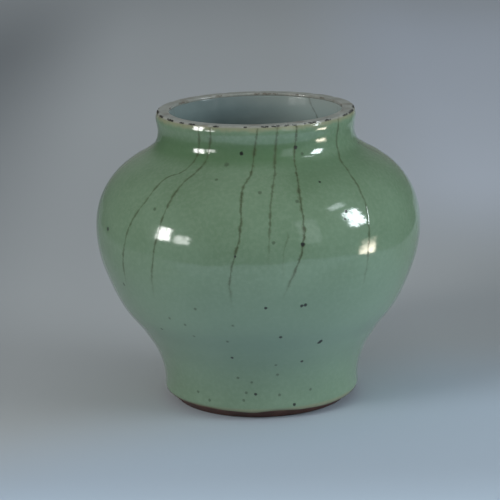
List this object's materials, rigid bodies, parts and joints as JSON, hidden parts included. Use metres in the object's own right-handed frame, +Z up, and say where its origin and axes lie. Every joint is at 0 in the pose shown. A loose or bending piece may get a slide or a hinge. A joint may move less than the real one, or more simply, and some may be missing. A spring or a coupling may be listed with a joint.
{
  "type": "ginger jar",
  "caption": "Wide-mouthed rounded storage jar without a lid: glazed stoneware, swelling shoulder, short upright neck, waisted foot with a bare bevelled foot ring.",
  "frame": {"origin": "on the jar's axis, in the plane of the foot ring that it stands on", "axes": "+Z up along the jar's axis; -Y is the side that was pictured, +X is to its right"},
  "size_m": [0.2, 0.2, 0.181],
  "materials": {
    "bare_foot_clay": "unglazed, fired dark brown",
    "stoneware_body": "unglazed buff stoneware, worn smooth",
    "luting_slip": "unglazed, same clay as the body",
    "celadon_glaze": "glossy green celadon with stained crackle and iron specks",
    "liner_glaze": "glossy pale blue-grey"
  },
  "bodies": {
    "root": {"lower_section": "bare_foot_clay", "upper_section": "stoneware_body", "neck_collar": "stoneware_body", "base_disc": "stoneware_body", "belly_slip": "luting_slip", "neck_slip": "luting_slip", "base_slip": "luting_slip", "outer_glaze": "celadon_glaze", "inner_glaze": "liner_glaze", "base_glaze": "liner_glaze"}
  },
  "joints": []
}
